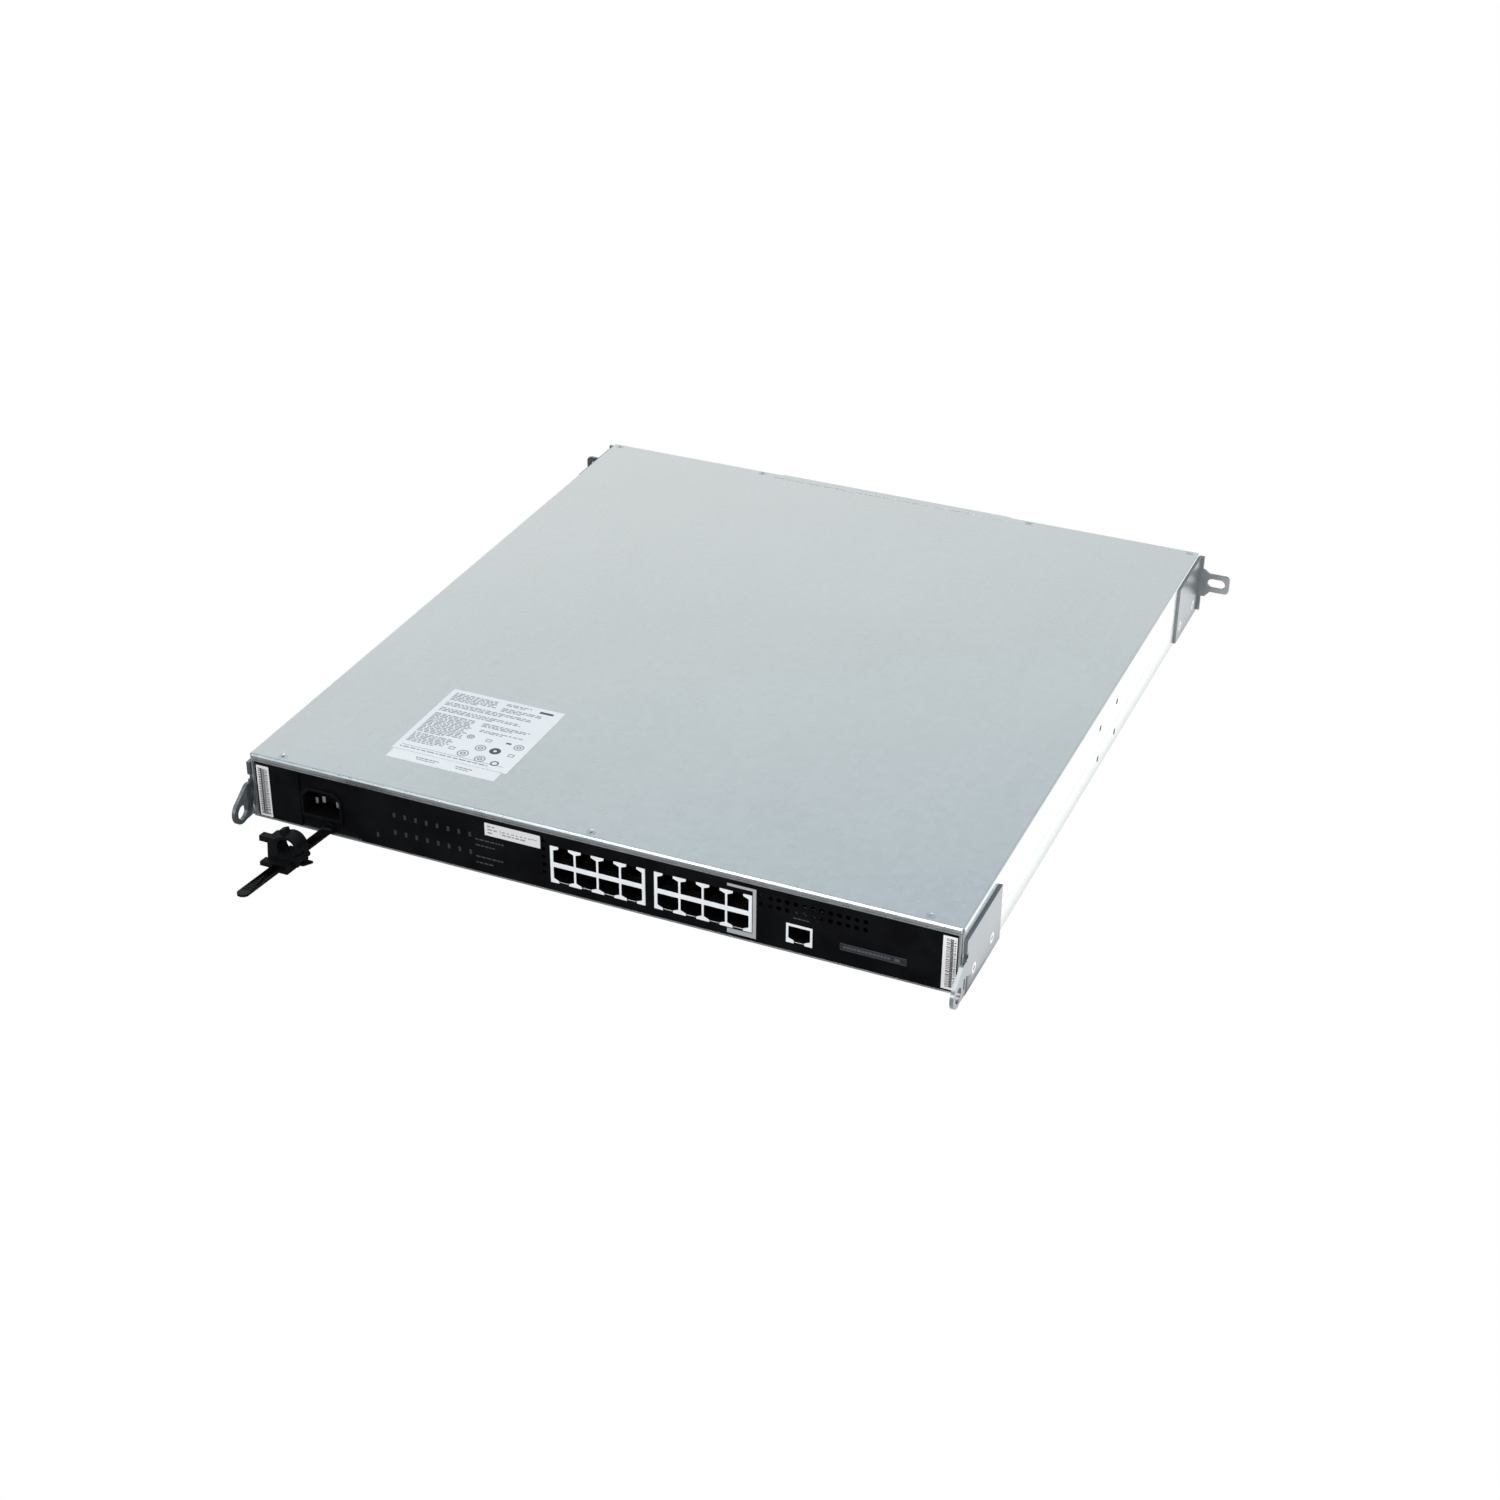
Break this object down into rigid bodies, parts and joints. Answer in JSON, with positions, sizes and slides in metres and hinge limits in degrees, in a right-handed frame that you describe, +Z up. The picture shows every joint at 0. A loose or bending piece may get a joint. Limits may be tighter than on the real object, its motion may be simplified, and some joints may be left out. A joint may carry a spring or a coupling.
{
  "type": "rack-mount firewall appliance",
  "caption": "One rack unit network firewall in a sheet steel case, with a black panel, stacked network jacks, a mains inlet with a cord strap, rear fans and rack ears.",
  "frame": {"origin": "centre of the case's underside, on the surface it rests on", "axes": "+X to the right seen from the front, +Y from the front panel to the back, +Z up"},
  "size_m": [0.4826, 0.5773, 0.0426],
  "materials": {
    "case_steel": "galvanised sheet, soft sheen with faint spangle",
    "supply_steel": "galvanised sheet",
    "panel_black": "satin powder coat",
    "label_white": "satin label stock",
    "nameplate_foil": "printed film",
    "screw_steel": "zinc plated",
    "black_nylon": "moulded nylon",
    "fan_plastic": "moulded, fine texture",
    "pin_metal": "nickel plated",
    "shield_metal": "tin plated",
    "jack_plastic": "moulded",
    "contact_gold": "gold plated",
    "light_lens": "unlit, frosted",
    "board_green": "solder mask",
    "chip_black": "moulded package",
    "aluminium": "extruded",
    "transformer_tape": "polyester tape",
    "capacitor_sleeve": "shrink sleeve",
    "wire_sleeve": "braided sleeve"
  },
  "bodies": {
    "chassis": {"chassis_tray": "case_steel", "top_cover": "case_steel", "cover_screws": "screw_steel", "front_panel": "panel_black", "end_labels": "label_white", "panel_label": "label_white", "nameplate": "nameplate_foil", "rating_label": "label_white", "serial_strip": "label_white", "front_bracket_left": "case_steel", "front_bracket_right": "case_steel", "rear_ear_left": "case_steel", "rear_ear_right": "case_steel", "bracket_screws": "screw_steel", "psu_case": "supply_steel", "psu_lid": "supply_steel", "psu_faceplate": "panel_black", "psu_board": "board_green", "psu_transformer": "transformer_tape", "psu_capacitors": "capacitor_sleeve", "psu_heatsinks": "aluminium", "psu_fan_frame": "fan_plastic", "iec_inlet": "black_nylon", "inlet_pins": "pin_metal", "port_shield_left": "shield_metal", "port_shield_right": "shield_metal", "console_shield": "shield_metal", "port_housing_left": "jack_plastic", "port_housing_right": "jack_plastic", "console_housing": "jack_plastic", "port_contacts": "contact_gold", "light_pipes": "light_lens", "status_board": "board_green", "main_board": "board_green", "board_standoffs": "screw_steel", "board_screws": "screw_steel", "cpu": "pin_metal", "cpu_heatsink": "aluminium", "switch_chips": "chip_black", "switch_heatsinks": "aluminium", "memory_sockets": "jack_plastic", "memory_modules": "board_green", "board_capacitors": "capacitor_sleeve", "coin_cell": "pin_metal", "storage_drive": "aluminium", "drive_bracket": "case_steel", "power_harness": "wire_sleeve", "fan_frames": "fan_plastic", "fan_guards": "screw_steel", "fan_screws": "screw_steel"},
    "fan_rotor_left": {"fan_rotor_left": "fan_plastic"},
    "fan_rotor_middle": {"fan_rotor_middle": "fan_plastic"},
    "fan_rotor_right": {"fan_rotor_right": "fan_plastic"},
    "psu_fan_rotor": {"psu_fan_rotor": "fan_plastic"},
    "anchor": {"strap_anchor": "black_nylon"},
    "strap": {"strap": "black_nylon"},
    "clamp": {"clamp_body": "black_nylon"},
    "jaw": {"clamp_jaw": "black_nylon"},
    "pawl": {"clamp_pawl": "black_nylon"}
  },
  "joints": [
    {"name": "fan_left_spin", "type": "hinge", "parent": "chassis", "child": "fan_rotor_left", "pos_m": [-0.06, 0.2255, 0.02105], "axis": [0, 1, 0], "continuous": true},
    {"name": "fan_middle_spin", "type": "hinge", "parent": "chassis", "child": "fan_rotor_middle", "pos_m": [0, 0.2255, 0.02105], "axis": [0, 1, 0], "continuous": true},
    {"name": "fan_right_spin", "type": "hinge", "parent": "chassis", "child": "fan_rotor_right", "pos_m": [0.06, 0.2255, 0.02105], "axis": [0, 1, 0], "continuous": true},
    {"name": "psu_fan_spin", "type": "hinge", "parent": "chassis", "child": "psu_fan_rotor", "pos_m": [-0.1765, -0.0368, 0.02105], "axis": [0, 1, 0], "continuous": true},
    {"name": "strap_swivel", "type": "hinge", "parent": "chassis", "child": "anchor", "pos_m": [-0.168, -0.242, 0.0042], "axis": [0, 1, 0], "range_deg": [-90, 90]},
    {"name": "strap_bend", "type": "hinge", "parent": "anchor", "child": "strap", "pos_m": [-0.168, -0.244, 0.0042], "axis": [1, 0, 0], "range_deg": [-25, 50]},
    {"name": "clamp_slide", "type": "slide", "parent": "strap", "child": "clamp", "axis": [0, -0.9945, 0.1045], "range_m": [-0.016, 0.026]},
    {"name": "jaw_open", "type": "hinge", "parent": "clamp", "child": "jaw", "pos_m": [-0.1589, -0.28438, 0.01226], "axis": [0, 0.9945, -0.1045], "range_deg": [0, 75]},
    {"name": "pawl_release", "type": "hinge", "parent": "clamp", "child": "pawl", "pos_m": [-0.1716, -0.27905, 0.00557], "axis": [1, 0, 0], "range_deg": [0, 8]}
  ]
}
